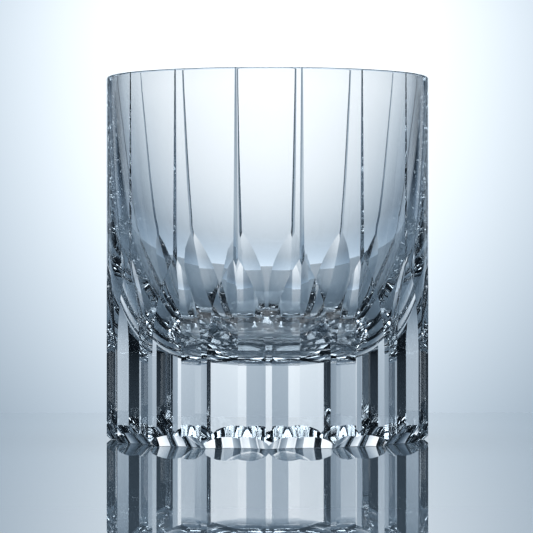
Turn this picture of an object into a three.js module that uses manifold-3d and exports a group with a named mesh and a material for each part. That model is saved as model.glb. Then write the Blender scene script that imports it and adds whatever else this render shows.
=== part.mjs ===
// A cut-crystal whiskey tumbler: one solid piece of glass with a heavy base and a rounded bowl.
// Sixteen shallow V-shaped flutes stand round the base. Each runs out upwards in a pointed leaf,
// and a fine mitre groove carries on from the leaf's tip to the lip.
// Millimetres, +Z up. The origin is the centre of the flat underside that the tumbler stands on.
import * as THREE from "three";
import { mergeVertices } from "three/addons/utils/BufferGeometryUtils.js";
import Module from "manifold-3d";

const wasm = await Module();
wasm.setup();

// The blank
const outerRadius = 40;
const height = 90;
const baseThickness = 18.8; // glass under the lowest point of the bowl
const lipWall = 1; // glass at the lip, which is rounded over its whole thickness
const wallDraft = THREE.MathUtils.degToRad(6); // lean of the inner wall at the lip
const shoulderDrop = 8; // this far down from the lip the wall starts to turn in to the floor
const bowlExponent = 4; // 2 makes the turn an ellipse, and more makes it squarer

// The cuts
const fluteCount = 16;
const flankTilt = THREE.MathUtils.degToRad(15); // each side of a flute against the flat between them
const landWidth = 1.5; // uncut strip of the blank between two flutes
const leafTop = 45.5; // height at which a flute starts
const leafLength = 24; // the cut reaches its full depth this far below its top
const grooveDepth = 0.5; // where the groove meets the leaf
const grooveLipDepth = 0.18; // where it runs out over the lip
const grooveHalfAngle = THREE.MathUtils.degToRad(50);
const scallopRise = 2.4; // height of the bevel that ends each flute, at the flute's valley
const scallopEdgeRise = 1.6; // and at the flute's edges, since the bevel is hollow across
const scallopTilt = THREE.MathUtils.degToRad(45); // the bevel against the underside

// How finely curves are divided
const roundSegments = 6 * fluteCount;
const bowlSteps = 26;
const lipSteps = 6;
const leafSteps = 12;
const scallopSegments = 80;

const overshoot = 1; // cutters start and end this far outside the glass
const lipRadius = lipWall / 2;
const lipCentre = new THREE.Vector2(outerRadius - lipRadius, height - lipRadius);

// The bowl's radius at height z: a cone down to the shoulder, and a superellipse on that cone below it.
const shoulder = height - shoulderDrop;
function bowlRadius(z) {
  const cone = outerRadius - lipWall - Math.tan(wallDraft) * (lipCentre.y - z);
  const sunk = Math.max(0, shoulder - z) / (shoulder - baseThickness);
  return cone * (1 - sunk ** bowlExponent) ** (1 / bowlExponent);
}

// Points down the bowl from the shoulder, closest together near the floor, where it turns fastest.
function bowlProfile() {
  const points = [];
  for (let i = 0; i < bowlSteps; i++) {
    const turned = (i / bowlSteps) * (Math.PI / 2);
    const z = shoulder - (shoulder - baseThickness) * Math.sin(turned) ** (2 / bowlExponent);
    points.push(new THREE.Vector2(bowlRadius(z), z));
  }
  points.push(new THREE.Vector2(0, baseThickness));
  return points;
}

function lipProfile() {
  const points = [];
  for (let i = 0; i <= lipSteps; i++) {
    const turned = (i / lipSteps) * Math.PI;
    const x = lipCentre.x + lipRadius * Math.cos(turned);
    points.push(new THREE.Vector2(x, lipCentre.y + lipRadius * Math.sin(turned)));
  }
  return points;
}

// The uncut tumbler, turned about Z.
function blank() {
  const outline = [
    new THREE.Vector2(0, 0),
    new THREE.Vector2(outerRadius, 0),
    ...lipProfile(),
    ...bowlProfile(),
  ];
  return new THREE.LatheGeometry(outline, roundSegments).rotateX(Math.PI / 2);
}

// The depth at which a flute is just as wide as the space between two lands.
const halfPitch = Math.PI / fluteCount;
const fluteHalf = halfPitch - landWidth / 2 / outerRadius;
const fluteValley = outerRadius * (Math.cos(fluteHalf) - Math.sin(fluteHalf) * Math.tan(flankTilt));
const fluteDepth = outerRadius - fluteValley;

// The hollow bevel is part of a cylinder, whose radius takes it through both of its heights.
const fluteEdge = outerRadius * Math.sin(fluteHalf);
const edgeRise = scallopRise + Math.tan(flankTilt) * fluteEdge * Math.tan(scallopTilt);
const hollow = (edgeRise - scallopEdgeRise) * Math.cos(scallopTilt);
const scallopRadius = (fluteEdge ** 2 + hollow ** 2) / (2 * hollow);

// The radius of a flute's valley: straight up the base, then out along the arc of the cutting wheel.
const leafFoot = leafTop - leafLength;
function fluteValleyAt(z) {
  const along = Math.max(0, z - leafFoot) / leafLength;
  return outerRadius - fluteDepth * (1 - along ** 2);
}

// The groove starts inside the leaf, where the leaf is already as deep as it, and is shallower upwards.
const grooveStart = leafTop - leafLength * (1 - Math.sqrt(1 - grooveDepth / fluteDepth));
function grooveValleyAt(z) {
  const along = (z - grooveStart) / (height - grooveStart);
  return outerRadius - THREE.MathUtils.lerp(grooveDepth, grooveLipDepth, along);
}

// A V-shaped cutter that opens outwards along +X, with its point on valley(z) at each height.
function vCutter(halfAngle, reach, heights, valley) {
  const halfWidth = reach * Math.tan(halfAngle);
  const section = new THREE.Shape([
    new THREE.Vector2(0, 0),
    new THREE.Vector2(reach, -halfWidth),
    new THREE.Vector2(reach, halfWidth),
  ]);
  const steps = heights.length - 1;
  const geometry = new THREE.ExtrudeGeometry(section, { depth: steps, steps, bevelEnabled: false });
  const place = geometry.getAttribute("position");
  for (let i = 0; i < place.count; i++) {
    const z = heights[Math.round(place.getZ(i))];
    place.setXYZ(i, place.getX(i) + valley(z), place.getY(i), z);
  }
  return geometry;
}

function fluteCutter() {
  const heights = [-overshoot];
  for (let i = 0; i <= leafSteps; i++) heights.push(leafFoot + leafLength * (i / leafSteps));
  heights.push(leafTop + overshoot);
  return vCutter(Math.PI / 2 - flankTilt, 2 * fluteDepth, heights, fluteValleyAt);
}

function grooveCutter() {
  const heights = [grooveStart, height + overshoot];
  return vCutter(grooveHalfAngle, 3 * grooveDepth, heights, grooveValleyAt);
}

// A cylinder under the foot that leans outwards, and whose highest line meets the flute's valley.
function scallopCutter() {
  const reach = 3 * scallopRadius;
  const drop = scallopRadius / Math.cos(scallopTilt);
  const geometry = new THREE.CylinderGeometry(scallopRadius, scallopRadius, reach, scallopSegments);
  geometry.rotateX(Math.PI / 2).rotateY(Math.PI / 2 - scallopTilt);
  geometry.translate(fluteValley, 0, scallopRise - drop);
  return geometry;
}

function toSolid(geometry) {
  const bare = geometry.clone().deleteAttribute("normal").deleteAttribute("uv");
  const merged = mergeVertices(bare, 1e-4);
  return new wasm.Manifold(
    new wasm.Mesh({
      numProp: 3,
      vertProperties: new Float32Array(merged.getAttribute("position").array),
      triVerts: new Uint32Array(merged.index.array),
    }),
  );
}

function toGeometry(solid) {
  const mesh = solid.getMesh();
  const geometry = new THREE.BufferGeometry();
  geometry.setAttribute("position", new THREE.BufferAttribute(mesh.vertProperties, 3));
  geometry.setIndex(new THREE.BufferAttribute(mesh.triVerts, 1));
  geometry.computeVertexNormals();
  return geometry;
}

// The cut tumbler. A ridge faces +X and -Y, and a groove stands half a pitch to each side of it.
function glassBody() {
  const cuts = [fluteCutter(), grooveCutter(), scallopCutter()];
  const cutter = cuts.map(toSolid).reduce((joined, cut) => joined.add(cut));
  let body = toSolid(blank());
  for (let i = 0; i < fluteCount; i++) {
    const turn = THREE.MathUtils.radToDeg((2 * i + 1) * halfPitch);
    body = body.subtract(cutter.rotate([0, 0, turn]));
  }
  return toGeometry(body);
}

const crystal = new THREE.MeshStandardMaterial({
  color: 0xe6eef4,
  roughness: 0.03,
  metalness: 0,
  transparent: true,
  opacity: 0.35,
});

const tumbler = new THREE.Group();
const glass = new THREE.Mesh(glassBody(), crystal);
glass.name = "glass_body";
tumbler.add(glass);

export default tumbler;
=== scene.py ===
# A cut-crystal whiskey tumbler on a glossy pale table, lit from behind as glass is.
# Everything is in metres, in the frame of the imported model: +Z up, standing on z = 0.
import math

import bpy
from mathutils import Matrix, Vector


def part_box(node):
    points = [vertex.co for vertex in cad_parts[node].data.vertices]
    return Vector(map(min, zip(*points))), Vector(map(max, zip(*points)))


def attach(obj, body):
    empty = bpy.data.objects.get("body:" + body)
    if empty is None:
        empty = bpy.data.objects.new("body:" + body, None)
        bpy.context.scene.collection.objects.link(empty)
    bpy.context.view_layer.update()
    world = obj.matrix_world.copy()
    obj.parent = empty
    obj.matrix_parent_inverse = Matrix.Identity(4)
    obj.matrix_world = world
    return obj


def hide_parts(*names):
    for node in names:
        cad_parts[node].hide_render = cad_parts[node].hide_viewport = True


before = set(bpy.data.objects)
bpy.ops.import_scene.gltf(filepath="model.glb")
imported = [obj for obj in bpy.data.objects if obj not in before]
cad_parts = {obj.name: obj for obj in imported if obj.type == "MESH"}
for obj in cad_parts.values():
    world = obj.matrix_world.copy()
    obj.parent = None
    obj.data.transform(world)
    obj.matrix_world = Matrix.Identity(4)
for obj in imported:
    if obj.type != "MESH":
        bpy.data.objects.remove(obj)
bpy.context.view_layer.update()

MM = 0.001
NODE = "glass_body"

node_low, node_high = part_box(NODE)

# Sizes of the tumbler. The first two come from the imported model, the rest are its driving dimensions.
GLASS = {
    "Outer radius": (node_high[0] - node_low[0]) / 2,
    "Height": node_high[2],
    "Base thickness": 18.8 * MM,
    "Lip wall": 1.0 * MM,
    "Wall draft": math.radians(6),
    "Shoulder drop": 8 * MM,
    "Bowl exponent": 4.0,
    "Flute count": 16,
    "Flank tilt": math.radians(15),
    "Land width": 1.5 * MM,
    "Leaf top": 45.5 * MM,
    "Leaf length": 24 * MM,
    "Groove depth": 0.5 * MM,
    "Groove lip depth": 0.18 * MM,
    "Groove half angle": math.radians(50),
    "Scallop rise": 2.4 * MM,
    "Scallop edge rise": 1.6 * MM,
    "Scallop tilt": math.radians(45),
}

# How finely half a flute's width, and each stretch of the profile, is divided
GROOVE_COLUMNS = 3
FLANK_COLUMNS = 7
LAND_COLUMNS = 6
UNDERSIDE_ROWS = 6
SCALLOP_ROWS = 5
FLUTE_ROWS = 6
LEAF_ROWS = 36
WALL_ROWS = 16
LIP_ROWS = 20
CONE_ROWS = 10
BOWL_ROWS = 40
LEAF_CROWDING = 1.5  # 1 spaces a leaf's rows evenly, and more crowds them towards its tip
WALL_CROWDING = 1.5  # the same for the wall's rows, towards the leaf's tip below them
LAND_SPREAD = 0.5  # above the leaves, the flank's columns spread over this share of the plain wall
SPREAD_RISE = 1 / 3  # and they have done so this far above the tip, as a share of a leaf's length
SHARP_ANGLE = math.radians(10.5)  # edges sharper than this are cut edges, the rest are curves
MERGE_DISTANCE = 0.002 * MM

# Where the tumbler is seen from. The lens and the sensor are in millimetres.
EYE_DISTANCE = 715 * MM
EYE_HEIGHT = 43 * MM
EYE_AZIMUTH = math.radians(-0.45)
NEAREST_SEEN = 10 * MM
LENS = 193.9
SENSOR = 36
SIDEWAYS_SHIFT = -0.0019  # as a share of the sensor's width


class Value:
    """A number in a node tree. Python arithmetic on it adds Math nodes."""

    def __init__(self, tree, socket):
        self.tree = tree
        self.socket = socket

    def __add__(self, other):
        return self.tree.math("ADD", self, other)

    def __sub__(self, other):
        return self.tree.math("SUBTRACT", self, other)

    def __mul__(self, other):
        return self.tree.math("MULTIPLY", self, other)

    def __truediv__(self, other):
        return self.tree.math("DIVIDE", self, other)

    def __pow__(self, other):
        return self.tree.math("POWER", self, other)

    def __radd__(self, other):
        return self.tree.math("ADD", other, self)

    def __rsub__(self, other):
        return self.tree.math("SUBTRACT", other, self)

    def __rmul__(self, other):
        return self.tree.math("MULTIPLY", other, self)

    def __rtruediv__(self, other):
        return self.tree.math("DIVIDE", other, self)

    def __rpow__(self, other):
        return self.tree.math("POWER", other, self)

    def __neg__(self):
        return self.tree.math("MULTIPLY", self, -1)

    def __abs__(self):
        return self.tree.math("ABSOLUTE", self)


class Tree:
    """Adds nodes to a shader, world or geometry node tree."""

    def __init__(self, node_tree):
        self.nodes = node_tree.nodes
        self.links = node_tree.links

    def node(self, kind, settings=None, inputs=None):
        """A node of this kind: its settings are set first, then its sockets get their values or links."""
        made = self.nodes.new(kind)
        for name, setting in (settings or {}).items():
            setattr(made, name, setting)
        for key, given in (inputs or {}).items():
            self.feed(made.inputs[key], given)
        return made

    def feed(self, socket, given):
        if isinstance(given, Value):
            self.links.new(given.socket, socket)
        elif isinstance(given, bpy.types.NodeSocket):
            self.links.new(given, socket)
        else:
            socket.default_value = given

    def math(self, operation, *terms):
        made = self.node("ShaderNodeMath", {"operation": operation}, dict(enumerate(terms)))
        return Value(self, made.outputs[0])

    def sin(self, a):
        return self.math("SINE", a)

    def cos(self, a):
        return self.math("COSINE", a)

    def tan(self, a):
        return self.math("TANGENT", a)

    def sqrt(self, a):
        return self.math("SQRT", a)

    def lower(self, a, b):
        return self.math("MINIMUM", a, b)

    def higher(self, a, b):
        return self.math("MAXIMUM", a, b)

    def between(self, a, low, high):
        return self.higher(low, self.lower(a, high))

    def share(self, a, low, high):
        """How far a is from low to high, kept between 0 and 1."""
        return self.between((a - low) / (high - low), 0, 1)

    def parts(self, vector):
        split = self.node("ShaderNodeSeparateXYZ", inputs={0: vector})
        return [Value(self, s) for s in split.outputs]

    def noise(self, place, scale, detail):
        made = self.node("ShaderNodeTexNoise", inputs={"Vector": place, "Scale": scale, "Detail": detail})
        return Value(self, made.outputs[0])

    def vector(self, x, y, z):
        return self.node("ShaderNodeCombineXYZ", inputs={0: x, 1: y, 2: z}).outputs[0]


def blend(a, b, share):
    return a + (b - a) * share


class GlassTree(Tree):
    """The geometry node tree of the tumbler: one flute's sector, repeated round the axis."""

    def __init__(self, sizes):
        group = bpy.data.node_groups.new("cut_tumbler", "GeometryNodeTree")
        super().__init__(group)
        self.group = group
        group.interface.new_socket("Geometry", in_out="OUTPUT", socket_type="NodeSocketGeometry")
        for name, size in sizes.items():
            kind = "NodeSocketInt" if isinstance(size, int) else "NodeSocketFloat"
            group.interface.new_socket(name, in_out="INPUT", socket_type=kind)
        entry = self.node("NodeGroupInput")
        self.size = {name: Value(self, entry.outputs[name]) for name in sizes}
        self.work_out_blank()
        self.work_out_flutes()
        self.work_out_grooves()
        self.work_out_bevel()

    def work_out_blank(self):
        """Where the lip is rounded, and where the inner wall starts to turn in."""
        self.half_pitch = math.pi / self.size["Flute count"]
        self.lip_radius = self.size["Lip wall"] / 2
        self.lip_centre = self.size["Outer radius"] - self.lip_radius
        self.lip_height = self.size["Height"] - self.lip_radius
        self.shoulder = self.size["Height"] - self.size["Shoulder drop"]

    def work_out_flutes(self):
        """How deep the flutes are, since their width is what the lands leave."""
        radius = self.size["Outer radius"]
        half = self.half_pitch - self.size["Land width"] / 2 / radius
        self.flank_slope = self.tan(self.size["Flank tilt"])
        self.flute_edge = radius * self.sin(half)
        self.flute_valley = radius * self.cos(half) - self.flute_edge * self.flank_slope
        self.flute_depth = radius - self.flute_valley
        self.leaf_foot = self.size["Leaf top"] - self.size["Leaf length"]

    def work_out_grooves(self):
        """Where a groove starts inside its leaf, and the leaf's tip, where both are equally wide."""
        radius = self.size["Outer radius"]
        flank_tilt = self.size["Flank tilt"]
        self.groove_tilt = math.pi / 2 - self.size["Groove half angle"]
        self.groove_slope = self.tan(self.groove_tilt)
        self.groove_start = self.height_of_depth(self.size["Groove depth"])
        groove_edge = self.cut_edge(radius - self.size["Groove depth"], self.groove_tilt)
        tip_valley = radius * self.cos(groove_edge + flank_tilt) / self.cos(flank_tilt)
        self.leaf_tip = self.height_of_depth(radius - tip_valley)

    def work_out_bevel(self):
        """The radius of the hollow bevel, which takes it through both of its heights."""
        tilt = self.size["Scallop tilt"]
        edge = self.flute_edge
        edge_rise = self.size["Scallop rise"] + self.flank_slope * edge * self.tan(tilt)
        hollow = (edge_rise - self.size["Scallop edge rise"]) * self.cos(tilt)
        self.scallop_radius = (edge * edge + hollow * hollow) / (2 * hollow)

    def height_of_depth(self, depth):
        """The height at which a leaf's valley is this deep."""
        share = self.sqrt(1 - depth / self.flute_depth)
        return self.leaf_foot + self.size["Leaf length"] * share

    def cut_edge(self, valley, tilt):
        """The angle from a V cut's valley to where its side reaches the blank's surface."""
        share = valley * self.cos(tilt) / self.size["Outer radius"]
        return self.math("ARCCOSINE", self.lower(share, 1)) - tilt

    def cuts_at(self, z):
        """The valley radius of the flute and of the groove at height z."""
        along = self.higher(z - self.leaf_foot, 0) / self.size["Leaf length"]
        flute = self.size["Outer radius"] - self.flute_depth * (1 - along * along)
        rise = (z - self.groove_start) / (self.size["Height"] - self.groove_start)
        depth = blend(self.size["Groove depth"], self.size["Groove lip depth"], rise)
        return flute, self.size["Outer radius"] - depth

    def angle_at(self, column, z):
        """The angle of a column of points at height z, so that columns follow the edges of the cuts."""
        flute, groove = self.cuts_at(z)
        groove_edge = self.cut_edge(groove, self.groove_tilt)
        crossing = (flute - groove) / (flute * self.groove_slope - groove * self.flank_slope)
        groove_end = self.between(self.math("ARCTANGENT", crossing), 0, groove_edge)
        flank_edge = self.higher(self.cut_edge(flute, self.size["Flank tilt"]), groove_edge)
        below = self.share(self.groove_start - z, 0, self.flute_depth)
        groove_share = GROOVE_COLUMNS / (GROOVE_COLUMNS + FLANK_COLUMNS)
        groove_end = groove_end + below * flank_edge * groove_share
        above = self.share(z - self.leaf_tip, 0, self.size["Leaf length"] * SPREAD_RISE)
        flank_end = flank_edge + above * (self.half_pitch - flank_edge) * LAND_SPREAD
        in_groove = self.between(column / GROOVE_COLUMNS, 0, 1)
        in_flank = self.between((column - GROOVE_COLUMNS) / FLANK_COLUMNS, 0, 1)
        in_land = self.between((column - GROOVE_COLUMNS - FLANK_COLUMNS) / LAND_COLUMNS, 0, 1)
        angle = in_groove * groove_end + in_flank * (flank_end - groove_end)
        return angle + in_land * (self.half_pitch - flank_end)

    def cut_radius(self, angle, z):
        """The outside radius at an angle from the flute's valley."""
        flute, groove = self.cuts_at(z)
        flank = flute / (self.cos(angle) - self.sin(angle) * self.flank_slope)
        mitre = groove / (self.cos(angle) - self.sin(angle) * self.groove_slope)
        return self.lower(self.size["Outer radius"], self.lower(flank, mitre))

    def scallop_sunk(self, y):
        """How much lower the hollow bevel is at y than in its middle."""
        left = self.sqrt(self.scallop_radius * self.scallop_radius - y * y)
        return (self.scallop_radius - left) / self.cos(self.size["Scallop tilt"])

    def scallop_height(self, x, y):
        """The height of the bevel at the point x, y."""
        rise = self.size["Scallop rise"] + (x - self.flute_valley) * self.tan(self.size["Scallop tilt"])
        return rise - self.scallop_sunk(y)

    def scallop_foot(self, y):
        """How far out the bevel meets the underside, at y."""
        sunk = self.scallop_sunk(y) - self.size["Scallop rise"]
        return self.flute_valley + sunk / self.tan(self.size["Scallop tilt"])

    def scallop_taper(self, y):
        """How much narrower the bevel's foot is than its top, whose outermost point is at y."""
        steep = self.sin(self.size["Scallop tilt"])
        start = self.flute_valley - self.size["Scallop rise"] / self.tan(self.size["Scallop tilt"])
        across = steep / self.tan(self.half_pitch)
        reach = self.scallop_radius + steep * start
        a = 1 + across * across
        b = across * reach
        c = reach * reach - self.scallop_radius * self.scallop_radius
        return (b - self.sqrt(b * b - a * c)) / a / y

    def sheet(self, rows, place):
        """A grid one flute wide, with each point moved to where place says."""
        columns = 2 * (GROOVE_COLUMNS + FLANK_COLUMNS + LAND_COLUMNS)
        grid = self.node("GeometryNodeMeshGrid", inputs={
            "Size X": columns, "Size Y": rows, "Vertices X": columns + 1, "Vertices Y": rows + 1,
        })
        x, y, _ = self.parts(self.node("GeometryNodeInputPosition").outputs[0])
        column = self.math("ROUND", abs(x))
        along = y / rows + 0.5
        side = self.math("SIGN", x)
        px, py, pz = place(column, along)
        moved = self.node("GeometryNodeSetPosition", inputs={
            "Geometry": grid.outputs["Mesh"], "Position": self.vector(px, py * side, pz),
        })
        return moved.outputs["Geometry"]

    def foot_of(self, column):
        """A column's highest point on the bevel, in x and y."""
        angle = self.angle_at(column, self.leaf_foot)
        radius = self.cut_radius(angle, self.leaf_foot)
        return radius * self.cos(angle), radius * self.sin(angle)

    def bevel_taper(self):
        """The bevel's taper. It is outermost at the ridge, half way to the next flute."""
        return self.scallop_taper(self.size["Outer radius"] * self.sin(self.half_pitch))

    def underside(self, column, along):
        _, top_y = self.foot_of(column)
        y = top_y * self.bevel_taper()
        return self.scallop_foot(y) * along, y * along, 0

    def scallop(self, column, along):
        top_x, top_y = self.foot_of(column)
        taper = self.bevel_taper()
        y = top_y * blend(taper, 1, along)
        x = blend(self.scallop_foot(top_y * taper), top_x, along)
        return x, y, self.scallop_height(x, y)

    def flute(self, column, along):
        x, y = self.foot_of(column)
        return x, y, blend(self.scallop_height(x, y), self.leaf_foot, along)

    def wall_point(self, column, z):
        angle = self.angle_at(column, z)
        radius = self.cut_radius(angle, z)
        return radius * self.cos(angle), radius * self.sin(angle), z

    def leaf(self, column, along):
        left = (1 - along) ** LEAF_CROWDING
        return self.wall_point(column, self.leaf_tip - (self.leaf_tip - self.leaf_foot) * left)

    def wall(self, column, along):
        return self.wall_point(column, blend(self.leaf_tip, self.lip_height, along ** WALL_CROWDING))

    def lip(self, column, along):
        turned = along * math.pi
        angle = self.angle_at(column, self.lip_height)
        round_lip = self.lip_centre + self.lip_radius * self.cos(turned)
        radius = self.lower(round_lip, self.cut_radius(angle, self.lip_height))
        z = self.lip_height + self.lip_radius * self.sin(turned)
        return radius * self.cos(angle), radius * self.sin(angle), z

    def bowl_point(self, column, z):
        angle = self.angle_at(column, self.lip_height)
        inner = self.size["Outer radius"] - self.size["Lip wall"]
        cone = inner - self.tan(self.size["Wall draft"]) * (self.lip_height - z)
        sunk = self.higher(self.shoulder - z, 0) / (self.shoulder - self.size["Base thickness"])
        power = self.size["Bowl exponent"]
        radius = cone * (1 - self.lower(sunk, 1) ** power) ** (1 / power)
        return radius * self.cos(angle), radius * self.sin(angle), z

    def cone(self, column, along):
        return self.bowl_point(column, blend(self.lip_height, self.shoulder, along))

    def bowl(self, column, along):
        turned = self.sin(along * (math.pi / 2)) ** (2 / self.size["Bowl exponent"])
        return self.bowl_point(column, blend(self.shoulder, self.size["Base thickness"], turned))

    def finish(self, material):
        """Joins the sheets into a sector, repeats it round the axis and closes the seams."""
        sheets = [
            self.sheet(UNDERSIDE_ROWS, self.underside),
            self.sheet(SCALLOP_ROWS, self.scallop),
            self.sheet(FLUTE_ROWS, self.flute),
            self.sheet(LEAF_ROWS, self.leaf),
            self.sheet(WALL_ROWS, self.wall),
            self.sheet(LIP_ROWS, self.lip),
            self.sheet(CONE_ROWS, self.cone),
            self.sheet(BOWL_ROWS, self.bowl),
        ]
        joined = self.node("GeometryNodeJoinGeometry")
        for made in reversed(sheets):
            self.links.new(made, joined.inputs[0])
        places = self.node("GeometryNodeMeshLine", inputs={
            "Count": self.size["Flute count"], "Offset": (0, 0, 0),
        })
        index = Value(self, self.node("GeometryNodeInputIndex").outputs[0])
        turn = (2 * index + 1) * self.half_pitch
        rotation = self.node("FunctionNodeEulerToRotation", inputs={0: self.vector(0, 0, turn)})
        ring = self.node("GeometryNodeInstanceOnPoints", inputs={
            "Points": places.outputs["Mesh"],
            "Instance": joined.outputs[0],
            "Rotation": rotation.outputs[0],
        })
        real = self.node("GeometryNodeRealizeInstances", inputs={0: ring.outputs[0]})
        closed = self.node("GeometryNodeMergeByDistance", inputs={
            "Geometry": real.outputs[0], "Distance": MERGE_DISTANCE,
        })
        edge_angle = Value(self, self.node("GeometryNodeInputMeshEdgeAngle").outputs["Unsigned Angle"])
        curved = self.math("LESS_THAN", edge_angle, SHARP_ANGLE)
        smooth_faces = self.node("GeometryNodeSetShadeSmooth", {"domain": "FACE"}, {
            "Geometry": closed.outputs[0], "Shade Smooth": True,
        })
        smooth_edges = self.node("GeometryNodeSetShadeSmooth", {"domain": "EDGE"}, {
            "Geometry": smooth_faces.outputs[0], "Shade Smooth": curved,
        })
        dressed = self.node("GeometryNodeSetMaterial", inputs={
            "Geometry": smooth_edges.outputs[0], "Material": material,
        })
        self.node("NodeGroupOutput", inputs={0: dressed.outputs[0]})
        return self.group


def add_object(name, data):
    added = bpy.data.objects.new(name, data)
    bpy.context.scene.collection.objects.link(added)
    return added


def empty_material(name):
    """A new material and the tree to build it in."""
    material = bpy.data.materials.new(name)
    material.use_nodes = True
    material.node_tree.nodes.clear()
    return material, Tree(material.node_tree)


def add_stage(name, corners, faces, material):
    """A flat-sided thing that isn't part of the tumbler."""
    mesh = bpy.data.meshes.new(name)
    mesh.from_pydata(corners, [], faces)
    mesh.materials.append(material)
    add_object(name, mesh)


def plain_mesh(name, group, sizes):
    """Evaluates the tree with these sizes and keeps the result as a plain mesh."""
    maker = add_object(f"{name}_maker", bpy.data.meshes.new(f"{name}_maker"))
    modifier = maker.modifiers.new("cuts", "NODES")
    modifier.node_group = group
    for item in group.interface.items_tree:
        if item.in_out == "INPUT":
            modifier[item.identifier] = sizes[item.name]
    maker.update_tag()
    evaluated = maker.evaluated_get(bpy.context.evaluated_depsgraph_get())
    mesh = bpy.data.meshes.new_from_object(evaluated)
    mesh.name = name
    bpy.data.objects.remove(maker)
    return add_object(name, mesh)


CRYSTAL_IOR = 1.54

# Ripples in the polish, and stronger ones on the bowl's floor: their height in millimetres, and
# how many there are in a metre
POLISH_HEIGHT, POLISH_COUNT = 0.0003, 110
FLOOR_HEIGHT, FLOOR_COUNT = 0.022, 520
FLOOR_EDGE, FLOOR_FADE = 24 * MM, 6 * MM  # how far out the floor's ripples reach
FLOOR_LOW, FLOOR_HIGH = 4 * MM, 10 * MM  # they fade in between these heights, above the underside

# Fine wear where the foot touches what it stands on: the roughness, and how many worn patches there
# are in a metre
WEAR_ROUGHNESS, WEAR_COUNT = 0.1, 900
WEAR_START, WEAR_FULL = 34 * MM, 36 * MM
WEAR_HEIGHT = 0.1 * MM


def crystal_material():
    """Clear crystal, rippled a little by the polish, with wear round the foot."""
    material, tree = empty_material("polished_crystal")
    place = tree.node("ShaderNodeTexCoord").outputs["Object"]
    x, y, z = tree.parts(place)
    radius = tree.sqrt(x * x + y * y)
    on_floor = tree.share(FLOOR_EDGE - radius, 0, FLOOR_FADE) * tree.share(z, FLOOR_LOW, FLOOR_HIGH)
    height = tree.noise(place, POLISH_COUNT, detail=0) * POLISH_HEIGHT
    height = height + tree.noise(place, FLOOR_COUNT, detail=2) * on_floor * FLOOR_HEIGHT
    ripple = tree.node("ShaderNodeBump", inputs={"Strength": 1.0, "Distance": MM, "Height": height})
    at_foot = tree.share(WEAR_HEIGHT - z, 0, WEAR_HEIGHT) * tree.share(radius, WEAR_START, WEAR_FULL)
    surface = tree.node("ShaderNodeBsdfPrincipled", inputs={
        "Base Color": (1, 1, 1, 1),
        "Roughness": at_foot * tree.noise(place, WEAR_COUNT, detail=3) * WEAR_ROUGHNESS,
        "IOR": CRYSTAL_IOR,
        "Transmission Weight": 1.0,
        "Normal": ripple.outputs[0],
    })
    tree.node("ShaderNodeOutputMaterial", inputs={"Surface": surface.outputs[0]})
    return material


# The table, whose back edge is a little behind the tumbler. A hair's gap keeps it off the glass.
TABLE_HALF_WIDTH = 1.5
TABLE_FRONT, TABLE_BACK = -2.0, 131 * MM
TABLE_TOP, TABLE_BOTTOM = -0.05 * MM, -30 * MM
TABLE_COLOUR = (0.52, 0.59, 0.65, 1)
TABLE_IOR = 2.4  # high, so that the table mirrors the tumbler strongly


def table_material():
    material, tree = empty_material("glossy_table")
    surface = tree.node("ShaderNodeBsdfPrincipled", inputs={
        "Base Color": TABLE_COLOUR,
        "Roughness": 0.0,
        "IOR": TABLE_IOR,
    })
    tree.node("ShaderNodeOutputMaterial", inputs={"Surface": surface.outputs[0]})
    return material


def make_table():
    plan = (
        (-TABLE_HALF_WIDTH, TABLE_FRONT),
        (TABLE_HALF_WIDTH, TABLE_FRONT),
        (TABLE_HALF_WIDTH, TABLE_BACK),
        (-TABLE_HALF_WIDTH, TABLE_BACK),
    )
    corners = [(x, y, z) for z in (TABLE_BOTTOM, TABLE_TOP) for x, y in plan]
    sides = [(i, (i + 1) % 4, (i + 1) % 4 + 4, i + 4) for i in range(4)]
    faces = [(3, 2, 1, 0), (4, 5, 6, 7), *sides]
    add_stage("table", corners, faces, table_material())


# Glows on a card behind the tumbler: the middle's x and z, half-width, half-heights up and down, and
# strength. The two narrow ones light the sides of the base, and the last one reaches the glass from
# below the table's edge.
CARD_GLOWS = (
    (5 * MM, 127 * MM, 175 * MM, 130 * MM, 220 * MM, 0.86),
    (0, 70 * MM, 60 * MM, 120 * MM, 120 * MM, 0.1),
    (0, 420 * MM, 350 * MM, 300 * MM, 150 * MM, 0.2),
    (-228 * MM, 0, 48 * MM, 90 * MM, 90 * MM, 0.36),
    (228 * MM, 0, 48 * MM, 90 * MM, 90 * MM, 0.42),
    (0, -120 * MM, 120 * MM, 50 * MM, 200 * MM, 0.32),
)
CARD_DISTANCE = 350 * MM
CARD_HALF_WIDTH = 0.9
CARD_BOTTOM, CARD_TOP = -0.7, 1.1

# Soft lights to the sides: azimuth (0 is behind the tumbler, positive to the right) and elevation of
# the middle, half-width and half-height in degrees, and strength.
SIDE_LIGHTS = (
    (-62, 5, 11, 35, 0.2),
    (66, 5, 11, 35, 0.2),
)
AMBIENT = 0.015  # from everywhere else
FLOOR_LIGHT = 0.4  # from below the horizon, as from a pale studio floor
FLOOR_START, FLOOR_FULL = math.radians(12), math.radians(24)

# A soft light overhead
TOP_HEIGHT = 1.6
TOP_WIDTH, TOP_LENGTH = 1.6, 1.2
TOP_WATTS = 10
TOP_COLOUR = (0.76, 0.89, 1.0)

GLASS_BOUNCES, MIRROR_BOUNCES = 32, 16

# What colour light is at each strength: the dimmer, the bluer.
TINTS = (
    (0.0, (0.48, 0.72, 1.0, 1)),
    (0.35, (0.72, 0.86, 1.0, 1)),
    (0.75, (0.88, 0.945, 1.0, 1)),
    (1.0, (0.95, 0.975, 1.0, 1)),
)


def bell(*distances):
    """1 in the middle, falling off smoothly with each of these distances."""
    squares = [distance * distance for distance in distances]
    return math.e ** (-1 * sum(squares[1:], squares[0]))


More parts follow.
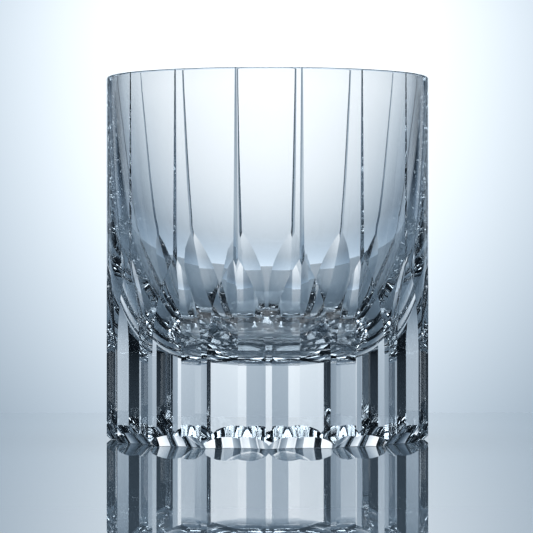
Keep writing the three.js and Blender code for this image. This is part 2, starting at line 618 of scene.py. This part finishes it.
def tinted(tree, light):
    """The colour of light this strong."""
    ramp = tree.node("ShaderNodeValToRGB", inputs={"Fac": light})
    elements = ramp.color_ramp.elements
    for place, _ in TINTS[1:-1]:
        elements.new(place)
    for element, (place, colour) in zip(elements, TINTS):
        element.position = place
        element.color = colour
    scaled = tree.node("ShaderNodeVectorMath", {"operation": "SCALE"}, {
        "Vector": ramp.outputs["Color"], "Scale": light,
    })
    return scaled.outputs[0]


def card_glow(tree, x, z, glow):
    """The strength of one glow at x, z on the card."""
    middle_x, middle_z, wide, up, down, strength = glow
    above = tree.higher(z - middle_z, 0) / up
    below = tree.lower(z - middle_z, 0) / down
    return strength * bell((x - middle_x) / wide, above + below)


def card_material():
    """Light that is brightest in the middle, on the card's front only. The card itself is clear."""
    material, tree = empty_material("lit_card")
    x, _, z = tree.parts(tree.node("ShaderNodeTexCoord").outputs["Object"])
    behind = Value(tree, tree.node("ShaderNodeNewGeometry").outputs["Backfacing"])
    light = 0
    for glow in CARD_GLOWS:
        light = card_glow(tree, x, z, glow) + light
    glowing = tree.node("ShaderNodeEmission", inputs={"Color": tinted(tree, light * (1 - behind))})
    clear = tree.node("ShaderNodeBsdfTransparent")
    surface = tree.node("ShaderNodeAddShader", inputs={0: glowing.outputs[0], 1: clear.outputs[0]})
    tree.node("ShaderNodeOutputMaterial", inputs={"Surface": surface.outputs[0]})
    return material


def make_card():
    corners = [
        (-CARD_HALF_WIDTH, CARD_DISTANCE, CARD_BOTTOM),
        (CARD_HALF_WIDTH, CARD_DISTANCE, CARD_BOTTOM),
        (CARD_HALF_WIDTH, CARD_DISTANCE, CARD_TOP),
        (-CARD_HALF_WIDTH, CARD_DISTANCE, CARD_TOP),
    ]
    add_stage("card", corners, [(0, 1, 2, 3)], card_material())


def side_light(tree, x, y, z, light):
    """The strength of a side light in the direction x, y, z."""
    azimuth, elevation, wide, tall, strength = light
    turned = math.radians(azimuth)
    ahead = x * math.sin(turned) + y * math.cos(turned)
    across = x * math.cos(turned) - y * math.sin(turned)
    sideways = tree.math("ARCTAN2", across, ahead) / math.radians(wide)
    lift = (tree.math("ARCSINE", z) - math.radians(elevation)) / math.radians(tall)
    return strength * bell(sideways, lift)


def make_world():
    world = bpy.data.worlds.new("studio")
    bpy.context.scene.world = world
    world.use_nodes = True
    world.node_tree.nodes.clear()
    tree = Tree(world.node_tree)
    x, y, z = tree.parts(tree.node("ShaderNodeTexCoord").outputs["Generated"])
    light = FLOOR_LIGHT * tree.share(-tree.math("ARCSINE", z), FLOOR_START, FLOOR_FULL) + AMBIENT
    for panel in SIDE_LIGHTS:
        light = side_light(tree, x, y, z, panel) + light
    glow = tree.node("ShaderNodeBackground", inputs={"Color": tinted(tree, light)})
    tree.node("ShaderNodeOutputWorld", inputs={"Surface": glow.outputs[0]})


def make_top_light():
    lamp = bpy.data.lights.new("top_softbox", "AREA")
    lamp.shape = "RECTANGLE"
    lamp.size, lamp.size_y = TOP_WIDTH, TOP_LENGTH
    lamp.energy = TOP_WATTS
    lamp.color = TOP_COLOUR
    add_object("top_softbox", lamp).location = (0, 0, TOP_HEIGHT)


def make_camera():
    camera = bpy.data.cameras.new("camera")
    camera.lens = LENS
    camera.sensor_width = SENSOR
    camera.shift_x = SIDEWAYS_SHIFT
    camera.clip_start = NEAREST_SEEN
    eye = add_object("camera", camera)
    x, y = math.sin(EYE_AZIMUTH) * EYE_DISTANCE, -math.cos(EYE_AZIMUTH) * EYE_DISTANCE
    eye.location = (x, y, EYE_HEIGHT)
    eye.rotation_mode = "QUATERNION"
    eye.rotation_quaternion = Vector((-x, -y, 0)).to_track_quat("-Z", "Y")
    bpy.context.scene.camera = eye


def set_tone():
    """How light becomes colour, and how often it may pass through glass."""
    scene = bpy.context.scene
    scene.view_settings.view_transform = "Standard"
    scene.view_settings.look = "High Contrast"
    scene.cycles.max_bounces = GLASS_BOUNCES
    scene.cycles.transmission_bounces = GLASS_BOUNCES
    scene.cycles.glossy_bounces = MIRROR_BOUNCES


def make_glass():
    """The tumbler as a fine mesh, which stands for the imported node."""
    glass = plain_mesh("cut_glass", GlassTree(GLASS).finish(crystal_material()), GLASS)
    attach(glass, "root")
    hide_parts(NODE)


make_camera()
make_world()
make_card()
make_top_light()
make_table()
set_tone()
make_glass()
